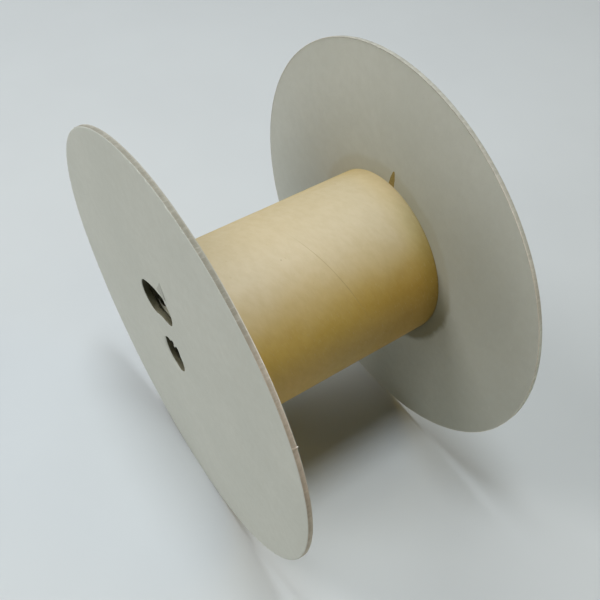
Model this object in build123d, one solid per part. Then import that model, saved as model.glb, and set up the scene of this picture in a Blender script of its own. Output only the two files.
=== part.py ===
# Cable reel: two die-cut greyboard flanges glued to the ends of a spiral-wound paper tube.
# All lengths are in millimetres and all angles in degrees.
# The reel's axis runs along Y, Z is up, and the reel lies on the rims of its two flanges.
import os

from build123d import *

# Flanges, two discs cut by the same die
flange_diameter = 200.0
board_thickness = 2.0
# The die enters from the outer face: it draws that face's corners in and leaves the inner ones sharp
rim_round = 0.4
hole_round = 0.3

# Core, a standard three-inch winding tube
core_inner_diameter = 76.0
core_wall = 3.2

# Clear width between the flanges, which the winding fills
traverse_width = 111.0

# Arbor hole, for a common spindle
spindle_diameter = 16.0
spindle_clearance = 0.5

# Drive slot, a kidney concentric with the arbor hole, for the winder's drive pin
drive_pin_diameter = 15.0
drive_pin_clearance = 1.0
drive_slot_radius = 28.0
# Angle between the centres of the slot's two round ends
drive_slot_span = 25.0
# Direction of the slot's middle, from +X towards +Z
drive_slot_direction = 108.0

# How closely an edge's radius or height has to match for the edge to be picked
pick_tolerance = 0.01

# Derived sizes
flange_radius = flange_diameter / 2
core_inner_radius = core_inner_diameter / 2
core_outer_radius = core_inner_radius + core_wall
arbor_radius = (spindle_diameter + spindle_clearance) / 2
drive_slot_width = drive_pin_diameter + drive_pin_clearance
drive_slot_start = drive_slot_direction - drive_slot_span / 2
inner_face_offset = traverse_width / 2

# The reel lies on its rims, so its axis is one flange radius above the floor
axis_height = flange_radius


def flange_outline():
    """The blank as the die cuts it: a disc with the arbor hole and the drive slot through it."""
    slot_line = CenterArc((0, 0), drive_slot_radius, drive_slot_start, drive_slot_span)
    outline = Circle(flange_radius)
    outline -= Circle(arbor_radius)
    outline -= SlotArc(slot_line, drive_slot_width)
    return outline


def at_height(edges, height):
    """The edges that lie flat at the given height."""
    return edges.filter_by(lambda edge: abs(edge.center().Z - height) < pick_tolerance)


def is_rim(edge):
    """True for the outer circle of the blank."""
    if edge.geom_type != GeomType.CIRCLE:
        return False
    return abs(edge.radius - flange_radius) < pick_tolerance


def flange_blank():
    """One flange lying flat, with its inner face at zero height and its outer face up."""
    blank = extrude(flange_outline(), amount=board_thickness)
    hole_edges = at_height(blank.edges(), board_thickness).filter_by(is_rim, reverse=True)
    blank = fillet(hole_edges, hole_round)
    rim_edge = at_height(blank.edges(), board_thickness).filter_by(is_rim)
    blank = fillet(rim_edge, rim_round)
    return blank


def core_tube():
    """The wound tube, cut square at both ends, standing on zero height."""
    wall = Circle(core_outer_radius) - Circle(core_inner_radius)
    return extrude(wall, amount=traverse_width)


# The front flange's inner face looks along +Y, and its outer face along -Y
front_place = Plane(origin=(0, -inner_face_offset, axis_height), x_dir=(1, 0, 0), z_dir=(0, -1, 0))
front_flange = front_place * flange_blank()

# The back flange is the same blank turned over, so the two drive slots line up
back_flange = mirror(front_flange, about=Plane.XZ)

# The tube reaches from one inner face to the other and is glued to both
core_place = Plane(origin=(0, -inner_face_offset, axis_height), x_dir=(1, 0, 0), z_dir=(0, 1, 0))
core = core_place * core_tube()

os.makedirs("parts", exist_ok=True)
export_step(front_flange, "parts/front_flange.step")
export_step(back_flange, "parts/back_flange.step")
export_step(core, "parts/core_tube.step")
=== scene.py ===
import math

import bmesh
import bpy
import numpy as np
from mathutils import Matrix, Vector, noise
from mathutils.geometry import delaunay_2d_cdt


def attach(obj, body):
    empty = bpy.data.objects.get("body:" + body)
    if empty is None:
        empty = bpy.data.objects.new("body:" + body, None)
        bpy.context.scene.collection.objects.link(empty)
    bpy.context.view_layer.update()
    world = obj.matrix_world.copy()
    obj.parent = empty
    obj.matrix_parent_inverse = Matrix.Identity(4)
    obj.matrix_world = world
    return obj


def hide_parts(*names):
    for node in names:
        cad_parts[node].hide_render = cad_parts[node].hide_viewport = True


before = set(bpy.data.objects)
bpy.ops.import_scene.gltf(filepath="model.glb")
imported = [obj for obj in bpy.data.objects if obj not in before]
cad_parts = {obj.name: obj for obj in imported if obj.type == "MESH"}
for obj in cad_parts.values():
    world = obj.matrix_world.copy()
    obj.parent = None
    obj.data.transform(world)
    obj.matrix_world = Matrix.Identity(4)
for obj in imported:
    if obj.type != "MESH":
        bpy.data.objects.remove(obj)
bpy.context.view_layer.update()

# Sizes of the solids, in millimetres. Flange points are (x, z) from the reel's axis, depth runs
# from a flange's outer face to its inner face, and angles are in degrees from +X towards +Z.
MM = 0.001
FLANGE_R = 100.0
BOARD = 2.0
# From the reel's middle to the outer and the inner faces of its flanges
OUTER = 57.5
INNER = 55.5
AXIS_Z = 100.0
CORE_R = 41.2
CORE_BORE = 38.0
ARBOR_R = 8.25
# The drive slot's middle line, its half width and the angles of its round ends
SLOT_R = 28.0
SLOT_HALF = 8.0
SLOT_FROM = 95.5
SLOT_TO = 120.5

# Numbers of the materials on a flange, and of those on the core besides its outer ply, which is 0
FACE, EDGE, BURR, PUNCHED, FIBRE, STRIP, FLAKE = range(7)
BORE, SLIVER = 1, 2

# Faces that meet at more than this angle keep a sharp edge
BOARD_SHARP = 38
CORE_SHARP = 50

# Where in the noise each board takes its waves
FRONT_SEED = 11.0
BACK_SEED = 47.0


def polar(radius, degrees):
    """The flange point at a radius and an angle."""
    a = math.radians(degrees)
    return Vector((radius * math.cos(a), radius * math.sin(a)))


def bump(value, centre, half):
    """1 at the centre, falling smoothly to 0 at half on either side."""
    s = abs(value - centre) / half
    return 0.0 if s >= 1.0 else 0.5 + 0.5 * math.cos(math.pi * s)


def step(lo, hi, value):
    """0 up to lo, rising smoothly to 1 at hi."""
    s = min(1.0, max(0.0, (value - lo) / (hi - lo)))
    return s * s * (3 - 2 * s)


def band(value, rise, full, fall, gone):
    """0 up to rise, 1 from full to fall, and 0 again from gone on."""
    return step(rise, full, value) * (1 - step(fall, gone, value))


def rough(x, y, z, scale):
    """Repeatable noise between about -1 and 1, with the scale in waves per millimetre."""
    return noise.noise(Vector((x, y, z)) * scale)


# Loops of a flange: points on an edge, the direction into the board at each, and their angles

# Where the front rim has the rib from the die's joint, its dent and its frayed stretch
JOINT_AT = 27.2
DENT_AT = 164.2
FRAY_AT = 91.5
# Angles between points of the rim, which stand closer for a short way to either side of the joint
RIM_STEP = 0.4
JOINT_STEP = 0.05
JOINT_REACH = 1.15
JOINT_CLEAR = 1.2
ARBOR_COUNT = 260
# Points on the slot's far side, on each of its ends and on its near side
SLOT_COUNTS = (50, 80, 30)


def rim_loop():
    angles = [i * RIM_STEP for i in range(round(360 / RIM_STEP))]
    angles = [a for a in angles if abs(a - JOINT_AT) > JOINT_CLEAR]
    close = round(2 * JOINT_REACH / JOINT_STEP) + 1
    angles += [JOINT_AT - JOINT_REACH + i * JOINT_STEP for i in range(close)]
    angles.sort()
    points = [polar(FLANGE_R, a) for a in angles]
    return points, [-p.normalized() for p in points], angles


def arbor_loop():
    angles = [i * 360.0 / ARBOR_COUNT for i in range(ARBOR_COUNT)]
    points = [polar(ARBOR_R, a) for a in angles]
    return points, [p.normalized() for p in points], angles


def slot_loop():
    points, inward, angles = [], [], []

    def arc(centre, radius, start, end, outward, count):
        for i in range(count):
            a = start + (end - start) * i / count
            d = polar(1.0, a)
            points.append(centre + d * radius)
            inward.append(d if outward else -d)
            angles.append(math.degrees(math.atan2(points[-1].y, points[-1].x)))

    hub = Vector((0, 0))
    far, end, near = SLOT_COUNTS
    arc(hub, SLOT_R + SLOT_HALF, SLOT_FROM, SLOT_TO, True, far)
    arc(polar(SLOT_R, SLOT_TO), SLOT_HALF, SLOT_TO, SLOT_TO + 180, True, end)
    arc(hub, SLOT_R - SLOT_HALF, SLOT_TO, SLOT_FROM, False, near)
    arc(polar(SLOT_R, SLOT_FROM), SLOT_HALF, SLOT_FROM + 180, SLOT_FROM + 360, True, end)
    return points, inward, angles


# Edge profiles as (inset, depth): the die draws the outer corner in, the plies show as
# slight steps, and a burr stands on the inner face
RIM_PROFILE = [
    (2.4, 0.0), (1.0, 0.0), (0.46, 0.0), (0.26, 0.03), (0.12, 0.11), (0.03, 0.24), (0.0, 0.42),
    (0.03, 0.5), (0.0, 0.75), (0.04, 0.84), (0.01, 1.1), (0.05, 1.2), (0.02, 1.45), (0.05, 1.55),
    (0.0, 1.78), (-0.05, 1.94), (-0.05, 2.05), (0.03, 2.1), (0.14, 2.06), (0.26, 2.0), (1.0, 2.0),
    (2.4, 2.0),
]
# At the holes the punch pushes the last plies through, so a ragged collar stands on the inner face
HOLE_PROFILE = [
    (1.6, 0.0), (0.8, 0.0), (0.36, 0.0), (0.16, 0.04), (0.05, 0.14), (0.0, 0.34), (0.02, 0.7),
    (0.0, 1.0), (0.03, 1.3), (0.01, 1.6), (0.04, 1.9), (0.03, 2.2), (0.06, 2.6), (0.08, 3.0),
    (0.14, 3.35), (0.24, 3.4), (0.32, 3.0), (0.4, 2.5), (0.5, 2.12), (0.7, 2.0), (1.0, 2.0),
    (1.6, 2.0),
]
HOLE_INSET = HOLE_PROFILE[0][0]
# Below this depth a point belongs to the burr on the rim
BURR_DEPTH = 1.9
# Above this depth a point of a hole belongs to the outer face and its drawn-in corner
CORNER_DEPTH = 0.35
# The back flange's collars are lower than the front one's
BACK_COLLAR = 0.35


def arbor_tear(angle, depth):
    """How far the front arbor hole's edge stands back; negative stands into the hole."""
    p = polar(ARBOR_R, angle)
    around = (angle + 180) % 360 - 180
    # It is pushed back on the right and on the upper left
    torn = 0.55 * bump(around, 10, 70) + 0.4 * band(angle, 103, 112, 150, 185)
    # Towards the drive slot there are two notches, with a tooth between them
    torn += 2.0 * band(angle, 36, 62, 69, 72) - 1.2 * bump(angle, 75.5, 5)
    torn += band(angle, 79, 82, 96, 99) * (1.7 - 1.0 * step(84, 98, angle))
    torn += 0.14 * band(angle, 38, 52, 122, 136) * rough(p.x, p.y, depth * 1.2, 1.3)
    share = 1.0 - 0.45 * step(0.5, 2.0, depth)
    return share * torn + 0.06 * rough(p.x, p.y, depth, 0.9)


def drawn_in(angle):
    """Where the punch has drawn the front arbor hole's edge in further, on its lower left."""
    return band(angle, 140, 180, 265, 300)


def slot_tear(point, angle, depth):
    """A little raggedness along the front slot's far edge, where the top ply has come away."""
    far = step(33.0, 35.5, point.length)
    torn = 0.55 * bump(angle, 91, 4) + 0.1 * bump(angle, 101, 4) - 0.12 * bump(angle, 97, 3)
    share = far * (1 - 0.6 * step(0.4, 1.6, depth))
    return share * torn + 0.08 * rough(point.x, point.y, depth, 0.8)


def rim_wear(angle, depth, damaged):
    """How far the rim stands back: slight wear, and on the front flange the rib, dent and fraying."""
    p = polar(FLANGE_R, angle)
    wear = 0.05 * rough(p.x, p.y, depth * 2, 0.5) + 0.03 * rough(p.x, p.y, depth * 3, 1.6)
    if damaged:
        frayed = abs(rough(p.x, p.y, 3, 0.9)) * (1 - step(0.2, 0.7, depth))
        wear -= 0.16 * bump(angle, JOINT_AT, 0.3)
        wear += 0.45 * bump(angle, DENT_AT, 0.8) * (1 - step(0.5, 1.6, depth))
        wear += 0.16 * bump(angle, FRAY_AT, 6) * frayed
    return wear


def edge_offset(kind, p, angle, inset, depth, damaged):
    """How far a point of an edge profile moves into the board, and the depth that it moves to."""
    if kind == "rim":
        off = rim_wear(angle, depth, damaged) * (1.0 - step(0.7, 1.7, inset))
        if damaged and depth > BURR_DEPTH:
            # The rib from the die's joint stands on the burr too
            depth += 0.5 * bump(angle, JOINT_AT + 0.1, 0.28) * (1 - step(0.05, 0.5, inset))
        return off, depth
    if kind == "arbor":
        off = arbor_tear(angle, depth) if damaged else 0.1 * rough(p.x, p.y, depth, 0.8)
    else:
        off = slot_tear(p, angle, depth) if damaged else 0.08 * rough(p.x, p.y, depth, 0.8)
    off *= 1.0 if inset < 0.7 else 0.9
    if depth > BOARD:
        ragged = 0.75 + 0.6 * rough(p.x, p.y, 3, 0.33) + 0.35 * rough(p.x, p.y, 9, 1.1)
        return off, BOARD + (depth - BOARD) * ragged * (1.0 if damaged else BACK_COLLAR)
    if kind == "arbor" and damaged:
        drawn = drawn_in(angle)
        if depth < CORNER_DEPTH:
            sunk = 0.6 * drawn * (1 - inset / HOLE_INSET) ** 1.5
            return off, depth * (1 - 0.6 * drawn) + sunk
        return off, depth + 0.5 * drawn * (1 - step(0.34, 1.9, depth))
    return off, depth


def edge_look(kind, inset, depth):
    """The material of the faces that lead to this point of an edge profile."""
    if kind != "rim":
        return PUNCHED if depth > CORNER_DEPTH and inset < 0.6 else FACE
    if depth < 0.12 or inset > 0.2 and depth > 1.0:
        return FACE
    return BURR if depth > BURR_DEPTH else EDGE


# The short crease pressed into the front flange, on its right: its two ends, depth and half width
CREASE = (Vector((63.0, -15.1)), Vector((72.5, -11.1)))
CREASE_DEEP = 0.14
CREASE_HALF = 0.9
CREASE_STEPS = 12

# How far the front flange's rim is bent: along x, along z and in twist
BEND = (-1.11, -0.83, -1.56)


def crease_depth(p):
    """How far the front flange's outer face is pressed in along its crease."""
    a, b = CREASE
    s = (p - a).dot(b - a) / (b - a).length_squared
    if s < 0 or s > 1:
        return 0.0
    away = (p - a - (b - a) * s).length
    return CREASE_DEEP * max(0.0, 1 - away / CREASE_HALF) * math.sin(math.pi * s)


def bend(p):
    """How far the front flange stands out: outside the glued ring the board is dished and twisted."""
    if p.length < CORE_R:
        return 0.0
    way = p.normalized()
    share = ((p.length - CORE_R) / (FLANGE_R - CORE_R)) ** 1.5
    return share * (BEND[0] * way.x ** 2 + BEND[1] * way.y ** 2 + BEND[2] * way.x * way.y)


def wave(p, seed):
    """The board isn't quite flat outside the glued ring."""
    bent = 0.2 * rough(p.x, p.y, seed, 0.011) + 0.08 * rough(p.x, p.y, seed + 7, 0.035)
    return step(46, 92, p.length) * bent


# Points inside a flange's face: the distance between them, the height of one of their rows as
# a share of it, and how far they stay clear of the rim, of the holes and of the crease's points
PITCH = 4.0
ROW = 0.866
RIM_CLEAR = 4.0
HOLE_CLEAR = 3.2
CREASE_CLEAR = 1.2
# How the faces are cut into triangles: what comes back, and how near two points count as one
ALL_TRIANGLES = 0
SAME_POINT = 1e-7


def clear_of_edges(p):
    """True for a flange point well away from the rim and the holes."""
    angle = math.degrees(math.atan2(p.y, p.x))
    middle = polar(SLOT_R, min(max(angle, SLOT_FROM), SLOT_TO))
    if (p - middle).length <= SLOT_HALF + HOLE_CLEAR:
        return False
    return ARBOR_R + HOLE_CLEAR < p.length < FLANGE_R - RIM_CLEAR


def crease_points():
    """Points that the crease needs, in rows along it."""
    a, b = CREASE
    side = Vector((-(b - a).y, (b - a).x)).normalized()
    found = []
    for i in range(CREASE_STEPS + 1):
        for k in (-2, -1, 0, 1, 2):
            found.append(a + (b - a) * (i / CREASE_STEPS) + side * (k * CREASE_HALF))
    return found


def face_points(extra):
    """Points spread over a flange's face, clear of its edges, and the extra ones."""
    found = []
    columns = int(FLANGE_R / PITCH) + 1
    rows = int(FLANGE_R / (PITCH * ROW)) + 1
    for j in range(-rows, rows + 1):
        for i in range(-columns, columns + 1):
            p = Vector((i * PITCH + (j % 2) * PITCH / 2, j * PITCH * ROW))
            p += Vector((rough(p.x, p.y, 1, 0.7), rough(p.x, p.y, 5, 0.7))) * 0.6
            if clear_of_edges(p) and all((p - q).length > CREASE_CLEAR for q in extra):
                found.append(p)
    return found + extra


def inside(polygon, points):
    """Which points lie inside a closed polygon."""
    x, z = points[:, 0], points[:, 1]
    hit = np.zeros(len(points), bool)
    for a, b in zip(polygon, np.roll(polygon, -1, 0)):
        cross = (a[1] > z) != (b[1] > z)
        if cross.any():
            at = a[0] + (z - a[1]) * (b[0] - a[0]) / (b[1] - a[1] if b[1] != a[1] else 1.0)
            hit ^= cross & (x < at)
    return hit


def face_triangles(flat, loops, depth, extra):
    """Triangles between the loops of a face's rim and holes, on points that it adds to the flat ones."""
    ids, edges = [], []
    for loop in loops:
        start, count = len(ids), len(loop)
        edges += [(start + i, start + (i + 1) % count) for i in range(count)]
        ids += loop
    for p in face_points(extra):
        ids.append(len(flat))
        flat.append((p, depth))
    coords = [flat[i][0] for i in ids]
    out, _, tris, source, _, _ = delaunay_2d_cdt(coords, edges, [], ALL_TRIANGLES, SAME_POINT)
    middles = np.array([[sum(out[k][c] for k in t) / 3 for c in (0, 1)] for t in tris])
    drop = np.zeros(len(tris), bool)
    for hole in loops[1:]:
        drop |= inside(np.array([tuple(flat[i][0]) for i in hole]), middles)
    return [tuple(ids[source[k][0]] for k in t) for t, gone in zip(tris, drop) if not gone]


class Shape:
    """Vertices and faces of a piece, with the number of the material of each face."""

    def __init__(self):
        self.verts, self.faces, self.looks = [], [], []

    def face(self, corners, look):
        self.faces.append(corners)
        self.looks.append(look)

    def sheet(self, points, thick, look):
        """Adds a thin closed sheet over a grid of points, given as rows of equal length."""
        grid = [[Vector(p) for p in row] for row in points]
        m, n = len(grid), len(grid[0])
        start = len(self.verts)
        for layer in (0, 1):
            for r in range(m):
                for c in range(n):
                    du = grid[min(r + 1, m - 1)][c] - grid[max(r - 1, 0)][c]
                    dv = grid[r][min(c + 1, n - 1)] - grid[r][max(c - 1, 0)]
                    self.verts.append(tuple(grid[r][c] + du.cross(dv).normalized() * thick * layer))

        def at(layer, r, c):
            return start + layer * m * n + r * n + c

        for r in range(m - 1):
            for c in range(n - 1):
                self.face((at(0, r, c), at(0, r, c + 1), at(0, r + 1, c + 1), at(0, r + 1, c)), look)
                self.face((at(1, r, c), at(1, r + 1, c), at(1, r + 1, c + 1), at(1, r, c + 1)), look)
        edge = [(0, c) for c in range(n)] + [(r, n - 1) for r in range(1, m)]
        edge += [(m - 1, c) for c in range(n - 2, -1, -1)] + [(r, 0) for r in range(m - 2, 0, -1)]
        for (r0, c0), (r1, c1) in zip(edge, edge[1:] + edge[:1]):
            self.face((at(0, r0, c0), at(1, r0, c0), at(1, r1, c1), at(0, r1, c1)), look)


def flange_shape(side, damaged, seed):
    """One flange: its edges swept along their loops, and its two faces filled in between them."""
    shape = Shape()
    flat, ends = [], []
    for kind, loop in (("rim", rim_loop()), ("arbor", arbor_loop()), ("slot", slot_loop())):
        profile = RIM_PROFILE if kind == "rim" else HOLE_PROFILE
        rows = []
        for inset, depth in profile:
            start = len(flat)
            for p, inward, angle in zip(*loop):
                off, low = edge_offset(kind, p, angle, inset, depth, damaged)
                flat.append((p + inward * (inset + off), low))
            rows.append(range(start, len(flat)))
        ends.append((rows[0], rows[-1]))
        count = len(rows[0])
        for (inset, depth), top, low in zip(profile[1:], rows, rows[1:]):
            look = edge_look(kind, inset, depth)
            for i in range(count):
                j = (i + 1) % count
                shape.face((top[i], top[j], low[j], low[i]), look)
    outer_loops, inner_loops = zip(*ends)
    for triangle in face_triangles(flat, outer_loops, 0.0, crease_points() if damaged else []):
        shape.face(triangle, FACE)
    for triangle in face_triangles(flat, inner_loops, BOARD, []):
        shape.face(triangle, FACE)
    for p, depth in flat:
        y = OUTER - depth + wave(p, seed)
        if damaged:
            y += bend(p) - (crease_depth(p) if depth < 0.01 else 0.0)
        shape.verts.append((p.x * MM, side * y * MM, (AXIS_Z + p.y) * MM))
    return shape


# Torn bits of the front flange's top ply

# The flake's two lower corners and its tip
FLAKE_CORNERS = (Vector((-4.4, 38.2)), Vector((3.2, 38.6)))
FLAKE_TIP = Vector((0.1, 46.0))
FLAKE_GRID = (10, 8)
FLAKE_REACH = 0.985
# The torn strip's two edges as (x, z, depth), from its tip to the slot's end, where it still holds
STRIP_INNER = [
    (-6.3, 30.2, 0.7), (-5.9, 27.9, 0.75), (-4.4, 27.2, 0.8), (-1.9, 27.4, 0.7), (0.7, 28.2, 0.6),
    (5.0, 29.7, 0.4),
]
STRIP_OUTER = [
    (-5.7, 30.7, 0.6), (-3.9, 29.7, 0.6), (-1.6, 30.3, 0.55), (2.6, 33.8, 0.45), (3.9, 32.6, 0.4),
    (5.1, 30.5, 0.35),
]
# Rows between two points of the strip's edges, and columns across it
STRIP_GRID = (4, 5)
# Loose fibres on the rim, as the angle of the middle, the length and the half width
RIM_FIBRES = [
    (95.2, 4.8, 0.2), (92.8, 1.6, 0.14), (89.2, 2.8, 0.3), (86.1, 3.0, 0.12), (82.9, 3.6, 0.12),
    (78.4, 4.0, 0.1), (102.6, 1.5, 0.1), (73.1, 2.5, 0.09), (60.0, 1.2, 0.1),
]
FIBRE_STEPS = 4
# Degrees round the rim for a millimetre
RIM_TURN = 0.57
# Thickness of a loose top ply and of the torn strip
TOP_PLY = 0.08
STRIP_THICK = 0.15


def on_front(x, z, lift):
    """A point of the front flange's outer face, in metres, standing off it by lift."""
    return (x * MM, -(OUTER + bend(Vector((x, z))) + lift) * MM, (AXIS_Z + z) * MM)


def add_flake(shape):
    """The flake of top ply lifted beside the drive slot, in rows from its foot to its tip."""
    rows, columns = FLAKE_GRID
    grid = []
    for r in range(rows + 1):
        # The last row stops just short of the tip, so that no face there is too small
        s = r / rows * FLAKE_REACH
        left, right = (corner.lerp(FLAKE_TIP, s) for corner in FLAKE_CORNERS)
        line = []
        for c in range(columns + 1):
            u = c / columns
            p = left.lerp(right, u)
            p += Vector((rough(r, c, 2, 0.4), rough(r, c, 8, 0.4))) * 0.22 * (1 - s)
            p.y -= 1.7 * math.sin(math.pi * u ** 1.5) * (1 - s) ** 2
            line.append(on_front(p.x, p.y, 0.01 + 0.17 * u ** 2 * (1 - s)))
        grid.append(line)
    shape.sheet(grid, TOP_PLY * MM, FLAKE)


def add_strip(shape):
    """The torn strip that hangs into the drive slot."""
    between, columns = STRIP_GRID
    last = len(STRIP_INNER) - 2
    rows = between * (last + 1)
    grid = []
    for r in range(rows + 1):
        k = min(r // between, last)
        part = r / between - k
        inner = Vector(STRIP_INNER[k]).lerp(Vector(STRIP_INNER[k + 1]), part)
        outer = Vector(STRIP_OUTER[k]).lerp(Vector(STRIP_OUTER[k + 1]), part)
        line = []
        for c in range(columns + 1):
            p = inner.lerp(outer, c / columns)
            shake = Vector((rough(r, c, 3, 0.6), rough(r, c, 6, 0.6), rough(r, c, 9, 0.4) * 0.6))
            p += shake * 0.25 * (1 - r / rows)
            line.append(on_front(p.x, p.y, -p.z))
        grid.append(line)
    shape.sheet(grid, STRIP_THICK * MM, STRIP)


def add_fibres(shape):
    """A few fibres of the top ply lifted along the upper edge of the front flange."""
    for k, (angle, long, wide) in enumerate(RIM_FIBRES):
        grid = []
        for r in range(FIBRE_STEPS + 1):
            s = r / FIBRE_STEPS
            arch = math.sin(math.pi * s)
            a = angle + long * RIM_TURN * (s - 0.5)
            radius = FLANGE_R - 0.4 + 0.25 * arch * rough(k, 3, 9, 0.9)
            lift = wave(polar(radius, a), FRONT_SEED) + 0.03 + 0.16 * arch
            w = wide * (1 - 0.8 * abs(2 * s - 1))
            p, q = polar(radius - w, a), polar(radius + w, a)
            grid.append([on_front(p.x, p.y, lift), on_front(q.x, q.y, lift)])
        shape.sheet(grid, TOP_PLY * MM, FIBRE)


def place(name, mesh, materials, sharp):
    """Puts a mesh in the scene with its materials, shaded smooth up to the sharp angle."""
    for m in materials:
        mesh.materials.append(m)
    mesh.polygons.foreach_set("use_smooth", [True] * len(mesh.polygons))
    mesh.set_sharp_from_angle(angle=math.radians(sharp))
    obj = bpy.data.objects.new(name, mesh)
    bpy.context.scene.collection.objects.link(obj)
    return obj


def board_object(name, shape, materials):
    mesh = bpy.data.meshes.new(name)
    mesh.from_pydata(shape.verts, [], shape.faces)
    mesh.polygons.foreach_set("material_index", shape.looks)
    work = bmesh.new()
    work.from_mesh(mesh)
    bmesh.ops.recalc_face_normals(work, faces=work.faces)
    work.to_mesh(mesh)
    work.free()
    return place(name, mesh, materials, BOARD_SHARP)


# Core tube

# The outer ply is one helical strip as wide as its lead. Its seam passes one known place, at a
# length along the axis and an angle, and the strip runs past both ends of the tube from there.
LEAD = 85.3
SEAM_Y = 1.1
SEAM_AT = 85.4
PLY_FROM = SEAM_AT - 240
PLY_TO = SEAM_AT + 600
PLY_COUNT = 840
# The strip's edge, as the distance from it and the height, and the rows between its two edges
SEAM_PROFILE = [(0.0, -0.07), (0.04, -0.07), (0.11, -0.01), (0.4, 0.0), (1.0, 0.0)]
PLY_ROWS = 44
# The ply's waves fade out over this length at each end of the tube
PLY_FADE = 4.0
# The angle where the seam stands out most, and how far it does to either side
SEAM_CLEAR_AT = 55
SEAM_CLEAR_HALF = 34
# The same angle for the seam's colour, in radians
SEAM_LIT_TURN = 0.95
# A dark speck on the outer ply: its angle, and its place along the axis
SPECK_AT = 74.6
SPECK_Y = -9.1
# Points nearer than this are joined where two turns of the strip meet
SEAM_WELD = 0.004
# Points nearer than this to the cut at a tube's end are moved onto it
CUT_SNAP = 0.003
BORE_COUNT = 180
BORE_RINGS = (-1, -1 / 3, 1 / 3, 1)
# The sliver's rows, columns, height and thickness
SLIVER_GRID = (8, 3)
SLIVER_TALL = 8.2
SLIVER_THICK = 0.3


def core_sliver():
    """A sliver of the tube's outer ply pressed up against the back flange above the core."""
    rows, columns = SLIVER_GRID
    grid = []
    for r in range(rows + 1):
        s = r / rows
        half = 1.5 * (1 - s) ** 0.5 * (1 + 0.2 * rough(r, 2, 1, 0.5)) + 0.25
        middle = 0.9 + 0.7 * s
        z = AXIS_Z + CORE_R - 0.1 + SLIVER_TALL * s
        across = [middle + half * (2 * c / columns - 1) for c in range(columns + 1)]
        grid.append([(x * MM, (INNER - 0.02) * MM, z * MM) for x in across])
    shape = Shape()
    shape.sheet(grid, SLIVER_THICK * MM, SLIVER)
    return shape


def add_ply(work):
    """The helical strip, joined along its seam and cut square at both ends of the tube."""
    edge = SEAM_PROFILE[-1][0]
    rows = list(SEAM_PROFILE)
    rows += [(edge + (LEAD - 2 * edge) * i / PLY_ROWS, 0.0) for i in range(1, PLY_ROWS)]
    rows += [(LEAD - w, h) for w, h in reversed(SEAM_PROFILE)]
    grid = []
    for i in range(PLY_COUNT + 1):
        angle = PLY_FROM + (PLY_TO - PLY_FROM) * i / PLY_COUNT
        p = polar(1.0, angle)
        line = []
        for w, h in rows:
            y = SEAM_Y - LEAD / 360.0 * (angle - SEAM_AT) + w
            wavy = 0.05 * rough(p.x * 30, y, p.y * 30, 0.05) + 0.012 * rough(p.x * 41, y, p.y * 41, 0.4)
            # The strip's two edges meet a turn apart
            seam_angle = angle if w < LEAD / 2 else angle - 360
            keen = 0.15 + 0.85 * bump(seam_angle, SEAM_CLEAR_AT, SEAM_CLEAR_HALF)
            fade = min(1.0, (INNER - min(abs(y), INNER)) / PLY_FADE)
            r = CORE_R + h * keen + wavy * fade
            line.append(work.verts.new((p.x * r * MM, y * MM, (AXIS_Z + p.y * r) * MM)))
        grid.append(line)
    for a, b in zip(grid, grid[1:]):
        for j in range(len(rows) - 1):
            work.faces.new((a[j], a[j + 1], b[j + 1], b[j]))
    bmesh.ops.remove_doubles(work, verts=work.verts, dist=SEAM_WELD * MM)
    for side in (-1, 1):
        bmesh.ops.bisect_plane(
            work,
            geom=list(work.verts) + list(work.edges) + list(work.faces),
            plane_co=(0, side * INNER * MM, 0),
            plane_no=(0, side, 0),
            clear_outer=True,
            dist=CUT_SNAP * MM,
        )


def add_bore(work):
    """The tube's bore, and the two ends between it and the outer ply."""
    rings = []
    for share in BORE_RINGS:
        ring = []
        for i in range(BORE_COUNT):
            p = polar(CORE_BORE, i * 360.0 / BORE_COUNT)
            ring.append(work.verts.new((p.x * MM, share * INNER * MM, (AXIS_Z + p.y) * MM)))
        rings.append(ring)
    for a, b in zip(rings, rings[1:]):
        for i in range(BORE_COUNT):
            j = (i + 1) % BORE_COUNT
            work.faces.new((a[i], a[j], b[j], b[i])).material_index = BORE
    for side in (-1, 1):
        edge = [e for e in work.edges if e.is_boundary and e.verts[0].co.y * side > 0]
        for f in bmesh.ops.bridge_loops(work, edges=edge)["faces"]:
            f.material_index = BORE


def core_object(name, materials):
    """The wound tube, with the sliver at its back end."""
    work = bmesh.new()
    add_ply(work)
    add_bore(work)
    sliver = core_sliver()
    corners = [work.verts.new(v) for v in sliver.verts]
    for face, look in zip(sliver.faces, sliver.looks):
        work.faces.new([corners[i] for i in face]).material_index = look
    bmesh.ops.recalc_face_normals(work, faces=work.faces)
    mesh = bpy.data.meshes.new(name)
    work.to_mesh(mesh)
    work.free()
    return place(name, mesh, materials, CORE_SHARP)


# Materials, with places and lengths in metres

# Least and greatest roughness of torn or cut board
DULL = (0.88, 0.98)


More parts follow.
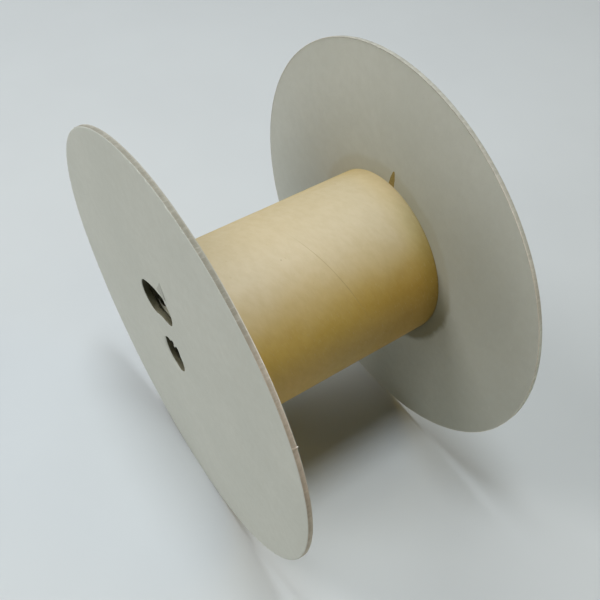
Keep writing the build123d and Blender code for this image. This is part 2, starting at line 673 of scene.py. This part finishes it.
class Look:
    """Short calls for building a node material."""

    def __init__(self, name):
        self.mat = bpy.data.materials.new(name)
        self.mat.use_nodes = True
        self.tree = self.mat.node_tree
        self.shader = self.tree.nodes["Principled BSDF"]
        self.place = self.tree.nodes.new("ShaderNodeTexCoord").outputs["Object"]

    def link(self, a, b):
        self.tree.links.new(a, b)

    def node(self, kind, **settings):
        n = self.tree.nodes.new(kind)
        for k, v in settings.items():
            setattr(n, k, v)
        return n

    def noise(self, scale, detail=3.0, roughness=0.55, at=None, stretch=None):
        n = self.node("ShaderNodeTexNoise")
        n.inputs["Scale"].default_value = scale
        n.inputs["Detail"].default_value = detail
        n.inputs["Roughness"].default_value = roughness
        source = at or self.place
        if stretch:
            m = self.node("ShaderNodeMapping")
            m.inputs["Scale"].default_value = stretch
            self.link(source, m.inputs["Vector"])
            source = m.outputs["Vector"]
        self.link(source, n.inputs["Vector"])
        return n.outputs["Fac"]

    def math(self, kind, a, b=0.0, c=0.0):
        n = self.node("ShaderNodeMath", operation=kind)
        for socket, v in zip(n.inputs, (a, b, c)):
            if isinstance(v, (int, float)):
                socket.default_value = v
            else:
                self.link(v, socket)
        return n.outputs[0]

    def times(self, first, *others):
        for value in others:
            first = self.math("MULTIPLY", first, value)
        return first

    def shaken(self, value, by, amount):
        """The value, moved up and down by a noise."""
        return self.math("ADD", value, self.times(self.math("SUBTRACT", by, 0.5), amount))

    def span(self, value, lo, hi, to_lo=0.0, to_hi=1.0):
        """Goes smoothly from to_lo to to_hi while the value goes from lo to hi."""
        n = self.node("ShaderNodeMapRange", interpolation_type="SMOOTHSTEP")
        self.link(value, n.inputs["Value"])
        for key, v in (("From Min", lo), ("From Max", hi), ("To Min", to_lo), ("To Max", to_hi)):
            n.inputs[key].default_value = v
        return n.outputs["Result"]

    def mix(self, fac, a, b, blend="MIX"):
        n = self.node("ShaderNodeMix", data_type="RGBA", blend_type=blend)
        self.link(fac, n.inputs[0])
        for socket, v in ((n.inputs[6], a), (n.inputs[7], b)):
            if isinstance(v, tuple):
                socket.default_value = (*v, 1.0)
            else:
                self.link(v, socket)
        return n.outputs[2]

    def tint(self, fac, color, by):
        return self.mix(fac, color, by, "MULTIPLY")

    def xyz(self):
        n = self.node("ShaderNodeSeparateXYZ")
        self.link(self.place, n.inputs[0])
        return n.outputs

    def depth(self):
        """How deep a point of a flange's rim or holes lies below its outer face."""
        x, y, z = self.xyz()
        up = self.math("SUBTRACT", z, AXIS_Z * MM)
        xx, zz = self.times(x, x), self.times(up, up)
        # The front rim follows the board's bend, and the holes lie in the flat middle
        per = 1 / (FLANGE_R ** 2 * MM)
        out = self.times(x, up, BEND[2] * per)
        out = self.math("MULTIPLY_ADD", xx, BEND[0] * per, out)
        out = self.math("MULTIPLY_ADD", zz, BEND[1] * per, out)
        on_rim = self.math("GREATER_THAN", self.math("ADD", xx, zz), (CORE_R * MM) ** 2)
        out = self.times(out, on_rim, self.math("LESS_THAN", y, 0.0))
        return self.math("ADD", self.math("SUBTRACT", OUTER * MM, self.math("ABSOLUTE", y)), out)

    def finish(self, color, roughness, specular, height=None, strength=0.0, distance=0.0):
        self.link(color, self.shader.inputs["Base Color"])
        self.link(roughness, self.shader.inputs["Roughness"])
        self.shader.inputs["Specular IOR Level"].default_value = specular
        if height is not None:
            b = self.node("ShaderNodeBump")
            b.inputs["Strength"].default_value = strength
            b.inputs["Distance"].default_value = distance
            self.link(height, b.inputs["Height"])
            self.link(b.outputs["Normal"], self.shader.inputs["Normal"])
        return self.mat


class Fuzzy(Look):
    """A fibrous look that wanders between two colours."""

    def __init__(self, name, low, high, scale=800.0, detail=4.0, roughness=0.6):
        super().__init__(name)
        self.fuzz = self.noise(scale, detail, roughness)
        self.color = self.mix(self.span(self.fuzz, 0.3, 0.7), low, high)

    def done(self, dull=DULL, specular=0.15, strength=0.4):
        roughness = self.span(self.fuzz, 0.2, 0.8, *dull)
        return self.finish(self.color, roughness, specular, self.fuzz, strength, 0.0001)


def board_face():
    """The flecked faces of the flanges."""
    k = Look("greyboard_face")
    x, y, z = k.xyz()
    up = k.math("SUBTRACT", z, AXIS_Z * MM)
    radius = k.math("SQRT", k.math("ADD", k.times(x, x), k.times(up, up)))
    cloud = k.noise(22.0)
    mottle = k.noise(260.0, 4.0, 0.6)
    fibre = k.noise(900.0, 3.0, 0.6, stretch=(1.0, 1.0, 0.28))
    speck = k.noise(1500.0, 1.0, 0.5)
    color = k.mix(k.span(cloud, 0.3, 0.7), (0.548, 0.561, 0.504), (0.578, 0.588, 0.529))
    color = k.mix(k.span(mottle, 0.3, 0.72, 0.0, 0.45), color, (0.525, 0.532, 0.472))
    color = k.mix(k.span(fibre, 0.55, 0.8, 0.0, 0.3), color, (0.64, 0.645, 0.59))
    color = k.mix(k.span(speck, 0.7, 0.8, 0.0, 0.3), color, (0.4, 0.385, 0.32))
    # Dried glue darkens the inner faces in a ring round the core
    glue = k.span(k.shaken(radius, k.noise(70.0), 0.005), 0.0464, 0.0496, 1.0, 0.0)
    within = k.math("LESS_THAN", k.math("ABSOLUTE", y), (INNER + BOARD / 2) * MM)
    # The ring is painted darker low on the back flange's right side, as painted shade below the core
    core_shade = k.times(k.span(z, 0.088, 0.125, 1.0, 0.0), k.span(x, -0.005, 0.025))
    core_shade = k.times(core_shade, k.math("GREATER_THAN", y, 0.0))
    share = k.times(glue, within, k.math("MULTIPLY_ADD", core_shade, 0.4, 0.33))
    color = k.mix(share, color, k.mix(core_shade, (0.45, 0.425, 0.315), (0.2, 0.175, 0.085)))
    roughness = k.span(mottle, 0.2, 0.8, 0.82, 0.95)
    height = k.math("ADD", k.times(fibre, 0.6), k.times(mottle, 0.4))
    return k.finish(color, roughness, 0.25, height, 0.25, 0.00012)


def board_edge():
    """The cut rims, where the plies show as faint bands."""
    k = Look("greyboard_edge")
    _, y, z = k.xyz()
    deep = k.shaken(k.depth(), k.noise(420.0), 0.0007)
    # The bands run by depth in millimetres
    ply = k.node("ShaderNodeTexWave", wave_type="BANDS", bands_direction="X")
    at = k.node("ShaderNodeCombineXYZ")
    k.link(k.times(deep, 1 / MM), at.inputs[0])
    k.link(at.outputs[0], ply.inputs["Vector"])
    ply.inputs["Scale"].default_value = 0.85
    fuzz = k.noise(900.0, 4.0, 0.65, stretch=(1.0, 0.3, 1.0))
    blot = k.noise(45.0, 2.0)
    color = k.mix(k.span(blot, 0.3, 0.7), (0.57, 0.49, 0.4), (0.64, 0.555, 0.46))
    patch = k.span(k.noise(150.0, 2.0), 0.4, 0.7, 0.0, 0.5)
    worn = k.times(k.span(ply.outputs["Fac"], 0.4, 0.95), patch)
    color = k.mix(worn, color, (0.47, 0.39, 0.32))
    # The rim is greyer and darker towards the top, and painted paler low down as painted light from the
    # right side
    rim_height = k.shaken(z, blot, 0.03)
    color = k.mix(k.span(rim_height, 0.152, 0.195), color, (0.3, 0.288, 0.24))
    color = k.mix(k.span(rim_height, 0.095, 0.136, 0.7, 0.0), color, (0.78, 0.74, 0.65))
    # The back flange's rim is greener below its top, and painted paler from its middle down as painted
    # light from the right side
    behind = k.math("GREATER_THAN", y, 0.0)
    green = k.times(behind, k.span(z, 0.17, 0.19, 0.8, 0.0))
    color = k.tint(green, color, (0.86, 0.95, 0.96))
    pale = k.times(k.span(z, 0.126, 0.148, 0.85, 0.16), k.span(z, 0.07, 0.095, 0.5, 1.0))
    color = k.mix(k.times(behind, pale), color, (0.86, 0.9, 0.83))
    # The cut is browner towards the outer face and paler towards the burr
    brown = k.times(k.span(deep, 0.0003, 0.0013, 0.55, 0.0), k.span(z, 0.175, 0.195, 1.0, 0.3))
    color = k.tint(brown, color, (0.8, 0.76, 0.71))
    color = k.tint(k.span(deep, 0.0009, 0.0018, 0.0, 0.6), color, (1.22, 1.2, 1.2))
    # Its grain runs across the rim
    grain = k.noise(600.0, 3.0, 0.6, stretch=(1.0, 0.25, 1.0))
    color = k.tint(k.span(grain, 0.35, 0.62, 0.3, 0.0), color, (0.74, 0.71, 0.66))
    color = k.tint(k.span(grain, 0.5, 0.72, 0.0, 0.4), color, (1.28, 1.28, 1.28))
    color = k.mix(k.span(fuzz, 0.5, 0.78, 0.0, 0.45), color, (0.6, 0.56, 0.48))
    color = k.mix(k.span(fuzz, 0.25, 0.45, 0.45, 0.0), color, (0.26, 0.23, 0.18))
    roughness = k.span(fuzz, 0.2, 0.8, *DULL)
    height = k.math("ADD", fuzz, k.times(worn, 0.4))
    return k.finish(color, roughness, 0.15, height, 0.4, 0.0002)


def board_burr():
    """The inner face's lighter ply, which shows along the burr, and is darker towards the top of the
    rim.
    """
    k = Fuzzy("greyboard_burr", (0.62, 0.57, 0.49), (0.78, 0.73, 0.64), 700.0, 4.0, 0.65)
    _, _, z = k.xyz()
    k.color = k.mix(k.span(z, 0.175, 0.194), k.color, (0.38, 0.365, 0.31))
    return k.done()


def hole_edge():
    """The punched edges of the holes, and the collars on their inner sides, in colours painted dark as
    shade inside the holes.
    """
    k = Look("greyboard_punched")
    x, _, z = k.xyz()
    fuzz = k.noise(650.0, 4.0, 0.65, stretch=(1.0, 2.0, 1.0))
    blot = k.noise(120.0)
    color = k.mix(k.span(blot, 0.3, 0.7), (0.2, 0.185, 0.12), (0.25, 0.235, 0.16))
    color = k.mix(k.span(fuzz, 0.48, 0.78, 0.0, 0.6), color, (0.32, 0.3, 0.22))
    color = k.mix(k.span(fuzz, 0.24, 0.42, 0.5, 0.0), color, (0.12, 0.115, 0.075))
    # Painted shade: the cuts are darker deeper in, at the slot's left end and in the upper half of the
    # arbor hole
    arbor = k.times(k.span(z, 0.094, 0.104, 0.0, 0.75), k.math("LESS_THAN", z, 0.112))
    dark = k.math("MAXIMUM", arbor, k.span(x, -0.019, -0.0105, 0.6, 0.0))
    dark = k.math("MAXIMUM", dark, k.span(k.depth(), 0.0003, 0.0026, 0.0, 0.3))
    color = k.mix(dark, color, (0.045, 0.05, 0.026))
    return k.finish(color, k.span(fuzz, 0.2, 0.8, *DULL), 0.15, fuzz, 0.5, 0.0002)


def torn_fibre():
    """The loose fibres on the rim."""
    return Fuzzy("torn_fibre", (0.6, 0.6, 0.535), (0.69, 0.69, 0.62)).done()


def lifted_ply():
    """The flake, which is greyer than the face, with painted shadow towards its lifted edge."""
    k = Fuzzy("lifted_ply", (0.41, 0.415, 0.37), (0.46, 0.465, 0.415))
    x, _, z = k.xyz()
    # The lifted edge leans to the right on its way down
    edge = k.math("MULTIPLY_ADD", k.math("SUBTRACT", z, 0.146), 0.42, x)
    # Painted shadow, darkest along the lifted edge
    k.color = k.mix(k.span(edge, -0.0015, 0.0002, 0.0, 0.7), k.color, (0.36, 0.36, 0.315))
    return k.done()


def torn_strip():
    """The strip, darker at its free tip and paler where it still holds."""
    k = Fuzzy("torn_strip", (0.2, 0.19, 0.14), (0.33, 0.315, 0.25))
    x, _, _ = k.xyz()
    k.color = k.mix(k.span(x, -0.0055, 0.001, 1.0, 0.0), k.color, (0.055, 0.055, 0.034))
    return k.done()


def kraft():
    """The tube's outer ply of brown paper."""
    k = Look("kraft_ply")
    x, y, z = k.xyz()
    up = k.math("SUBTRACT", z, AXIS_Z * MM)
    turn = k.math("ARCTAN2", up, x)
    # Paper coordinates: along the ply, which runs up the tube in a helix, and across it
    round_way = k.times(turn, CORE_R * MM)
    slope = math.atan2(LEAD, 2 * math.pi * CORE_R)
    cosine, sine = math.cos(slope), math.sin(slope)
    along = k.math("SUBTRACT", k.times(round_way, cosine), k.times(y, sine))
    across = k.math("ADD", k.times(round_way, sine), k.times(y, cosine))
    paper = k.node("ShaderNodeCombineXYZ")
    k.link(along, paper.inputs[0])
    k.link(across, paper.inputs[1])
    at = paper.outputs[0]
    cloud = k.noise(60.0, 3.0, 0.55, at)
    flock = k.noise(330.0, 4.0, 0.62, at, (0.55, 1.0, 1.0))
    fibre = k.noise(1300.0, 3.0, 0.6, at, (0.25, 1.0, 1.0))
    dark = k.noise(620.0, 2.0, 0.5, at, (0.5, 1.0, 1.0))
    blotch = k.noise(150.0, 3.0, 0.6, at)
    color = k.mix(k.span(cloud, 0.3, 0.7), (0.495, 0.323, 0.045), (0.525, 0.347, 0.057))
    # Painted sheen: the upper side is paler, less so at the back end
    top_sheen = k.span(k.shaken(z, cloud, 0.007), 0.115, 0.143, 0.0, 0.8)
    top_sheen = k.times(top_sheen, k.span(y, 0.038, 0.0555, 1.0, 0.72))
    color = k.mix(top_sheen, color, (0.545, 0.472, 0.338))
    # Painted light: the lower side is brighter towards the front flange
    low = k.times(k.span(z, 0.094, 0.114, 0.75, 0.0), k.span(y, -0.03, 0.01, 1.0, 0.0))
    color = k.mix(low, color, (0.68, 0.43, 0.062))
    # The end that meets the back flange is darker, widest low on the right
    right = k.span(x, 0.0, 0.022)
    far = k.times(k.span(y, 0.04, 0.0555), right)
    color = k.tint(far, color, (0.8, 0.83, 0.74))
    reach = k.math("ADD", y, k.span(z, 0.062, 0.108, 0.0042, 0.0002))
    end_darkening = k.times(k.span(reach, 0.0545, 0.0567, 0.0, 0.75), right)
    color = k.mix(end_darkening, color, (0.12, 0.105, 0.05))
    # Painted shade: the lower side is browner and darker towards the back flange
    brown = k.times(k.span(y, -0.005, 0.05, 0.0, 0.8), k.span(z, 0.115, 0.135, 1.0, 0.0))
    color = k.tint(brown, color, (0.93, 0.8, 0.6))
    # Mottling, pale fibres and dark flecks
    color = k.tint(k.span(flock, 0.35, 0.68, 0.0, 0.32), color, (0.86, 0.82, 0.74))
    color = k.tint(k.span(blotch, 0.35, 0.7, 0.0, 0.22), color, (0.9, 0.9, 0.84))
    color = k.mix(k.span(fibre, 0.55, 0.8, 0.0, 0.3), color, (0.6, 0.49, 0.26))
    color = k.mix(k.span(dark, 0.7, 0.82, 0.0, 0.4), color, (0.34, 0.23, 0.1))
    # The seam between turns of the outer ply, seen best where it crosses the lit side
    helix = k.math("ADD", y, k.times(turn, LEAD * MM / (2 * math.pi)))
    helix = k.math("SUBTRACT", helix, (SEAM_Y + LEAD / 360.0 * SEAM_AT) * MM)
    seam = k.span(k.math("PINGPONG", helix, LEAD * MM / 2), 0.00004, 0.00024, 1.0, 0.0)
    lit = k.math("ABSOLUTE", k.math("SUBTRACT", turn, SEAM_LIT_TURN))
    patchy = k.span(k.noise(90.0, 2.0), 0.3, 0.6, 0.55, 1.0)
    seam = k.times(seam, k.span(lit, 0.25, 0.7, 0.55, 0.05), patchy)
    color = k.mix(seam, color, (0.3, 0.22, 0.09))
    # One darker speck of bark near the middle
    spot = k.node("ShaderNodeVectorMath", operation="DISTANCE")
    p = polar(CORE_R, SPECK_AT)
    k.link(k.place, spot.inputs[0])
    spot.inputs[1].default_value = (p.x * MM, SPECK_Y * MM, (AXIS_Z + p.y) * MM)
    speck = k.span(spot.outputs["Value"], 0.00015, 0.0005, 0.42, 0.0)
    color = k.mix(speck, color, (0.2, 0.13, 0.06))
    roughness = k.span(flock, 0.25, 0.75, 0.5, 0.6)
    height = k.math("ADD", k.times(flock, 0.5), k.times(fibre, 0.5))
    k.shader.inputs["Coat Weight"].default_value = 0.3
    k.shader.inputs["Coat Roughness"].default_value = 0.55
    k.shader.inputs["Coat IOR"].default_value = 1.6
    return k.finish(color, roughness, 0.45, height, 0.15, 0.00008)


def tube_bore():
    """The tube's bore and its cut ends."""
    k = Fuzzy("tube_bore", (0.6, 0.59, 0.46), (0.67, 0.655, 0.53), 500.0)
    return k.done((0.85, 0.95), 0.2, 0.3)


def sliver_look():
    """The sliver of the outer ply."""
    k = Fuzzy("kraft_sliver", (0.29, 0.21, 0.06), (0.38, 0.285, 0.095), 900.0, 3.0)
    return k.done((0.6, 0.8), 0.3)


# The camera of the photo, fitted to the outlines of the flanges, the core and the holes
CAMERA_RIGHT = Vector((0.56823, 0.82272, 0.01586))
CAMERA_UP = Vector((-0.65192, 0.43834, 0.61876))
CAMERA_AT = (0.18883, -0.12065, 0.35749)
CAMERA_LENS = 44.578
CAMERA_SENSOR = 36.0
CAMERA_SHIFT = (-0.021, 0.0576)
CAMERA_NEAR = 0.01

# The floor and the room as the camera sees them, and the room as a light
PALE = (0.6, 0.625, 0.63, 1.0)
ROOM_LIGHT = (1.0, 0.85, 0.45, 1.0)
ROOM_STRENGTH = 0.012
FLOOR_HALF = 6.0

# Soft boxes: name, azimuth, elevation, distance and size in metres, power in watts, and colour.
# They all look at one point in the reel, at the height of LIGHTS_AIM.
COOL = (0.93, 1.0, 1.07)
LIGHTS = [
    ("overhead", 0, 90, 1.5, 0.45, 12.4, COOL),
    ("overhead_left", 180, 72, 1.5, 0.5, 3.2, COOL),
    ("overhead_back", 120, 72, 1.5, 0.5, 2.0, COOL),
    ("side", 227, 50, 1.5, 0.6, 7.0, (1.0, 1.0, 1.0)),
    ("window", 258, 18, 2.0, 0.9, 8.8, (1.0, 0.99, 0.99)),
    ("front", 300, 20, 2.0, 0.9, 1.9, (1.0, 0.9, 0.6)),
    ("bounce", 50, 48, 1.5, 0.8, 2.2, (1.0, 0.72, 0.22)),
]
LIGHTS_AIM = 0.08


def camera():
    data = bpy.data.cameras.new("camera")
    data.lens = CAMERA_LENS
    data.sensor_width = CAMERA_SENSOR
    data.shift_x, data.shift_y = CAMERA_SHIFT
    data.clip_start = CAMERA_NEAR
    obj = bpy.data.objects.new("camera", data)
    bpy.context.scene.collection.objects.link(obj)
    turn = Matrix((CAMERA_RIGHT, CAMERA_UP, CAMERA_RIGHT.cross(CAMERA_UP))).transposed()
    obj.matrix_world = Matrix.Translation(CAMERA_AT) @ turn.to_4x4()
    bpy.context.scene.camera = obj


def softbox(name, azimuth, elevation, distance, size, power, color):
    a, e = math.radians(azimuth), math.radians(elevation)
    way = Vector((math.cos(e) * math.cos(a), math.cos(e) * math.sin(a), math.sin(e)))
    data = bpy.data.lights.new(name, "AREA")
    data.shape = "DISK"
    data.size = size
    data.energy = power
    data.color = color
    obj = bpy.data.objects.new(name, data)
    obj.location = Vector((0, 0, LIGHTS_AIM)) + way * distance
    obj.rotation_euler = (-way).to_track_quat("-Z", "Y").to_euler()
    bpy.context.scene.collection.objects.link(obj)


def seen(tree):
    """1 for what is seen directly, in a gloss or through glass, and 0 for what lights the reel."""
    path = tree.nodes.new("ShaderNodeLightPath")
    value = path.outputs["Is Camera Ray"]
    for name in ("Is Glossy Ray", "Is Transmission Ray"):
        n = tree.nodes.new("ShaderNodeMath")
        n.operation = "MAXIMUM"
        tree.links.new(value, n.inputs[0])
        tree.links.new(path.outputs[name], n.inputs[1])
        value = n.outputs[0]
    return value


def mix_shaders(tree, share, first, second, output):
    """Shows a share of the second shader over the first one, at the tree's output node."""
    n = tree.nodes.new("ShaderNodeMixShader")
    tree.links.new(share, n.inputs[0])
    tree.links.new(first, n.inputs[1])
    tree.links.new(second, n.inputs[2])
    end = next(o for o in tree.nodes if o.bl_idname == output)
    tree.links.new(n.outputs[0], end.inputs["Surface"])


def add_floor():
    """A plain floor, which far from the reel looks like the room and adds no light to the reel."""
    s = FLOOR_HALF
    mesh = bpy.data.meshes.new("floor")
    mesh.from_pydata([(-s, -s, 0), (s, -s, 0), (s, s, 0), (-s, s, 0)], [], [(0, 1, 2, 3)])
    floor = bpy.data.objects.new("floor", mesh)
    bpy.context.scene.collection.objects.link(floor)
    k = Look("floor_paper")
    cloud = k.noise(9.0)
    color = k.mix(k.span(cloud, 0.3, 0.7), (0.578, 0.602, 0.605), (0.592, 0.617, 0.62))
    mesh.materials.append(k.finish(color, k.span(cloud, 0.2, 0.8, 0.85, 0.95), 0.2))
    away = k.node("ShaderNodeVectorMath", operation="LENGTH")
    k.link(k.place, away.inputs[0])
    far = k.times(k.span(away.outputs["Value"], 0.5, 1.0), seen(k.tree))
    glow = k.node("ShaderNodeEmission")
    glow.inputs["Color"].default_value = PALE
    near_look, far_look = k.shader.outputs["BSDF"], glow.outputs["Emission"]
    mix_shaders(k.tree, far, near_look, far_look, "ShaderNodeOutputMaterial")


def add_room():
    """A world that looks pale and gives hardly any light."""
    world = bpy.data.worlds.new("room")
    world.use_nodes = True
    tree = world.node_tree
    dim, pale = tree.nodes["Background"], tree.nodes.new("ShaderNodeBackground")
    dim.inputs["Color"].default_value = ROOM_LIGHT
    dim.inputs["Strength"].default_value = ROOM_STRENGTH
    pale.inputs["Color"].default_value = PALE
    mix_shaders(tree, seen(tree), dim.outputs[0], pale.outputs[0], "ShaderNodeOutputWorld")
    bpy.context.scene.world = world


camera()
board = [board_face(), board_edge(), board_burr(), hole_edge()]

front_shape = flange_shape(-1, True, FRONT_SEED)
add_flake(front_shape)
add_strip(front_shape)
add_fibres(front_shape)
torn = [torn_fibre(), torn_strip(), lifted_ply()]
front = board_object("front_board", front_shape, board + torn)
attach(front, "root")
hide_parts("front_flange")

back = board_object("back_board", flange_shape(1, False, BACK_SEED), board)
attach(back, "root")
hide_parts("back_flange")

core = core_object("wound_core", [kraft(), tube_bore(), sliver_look()])
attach(core, "root")
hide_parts("core_tube")

add_floor()
add_room()
for light in LIGHTS:
    softbox(*light)
bpy.context.scene.view_settings.view_transform = "Standard"
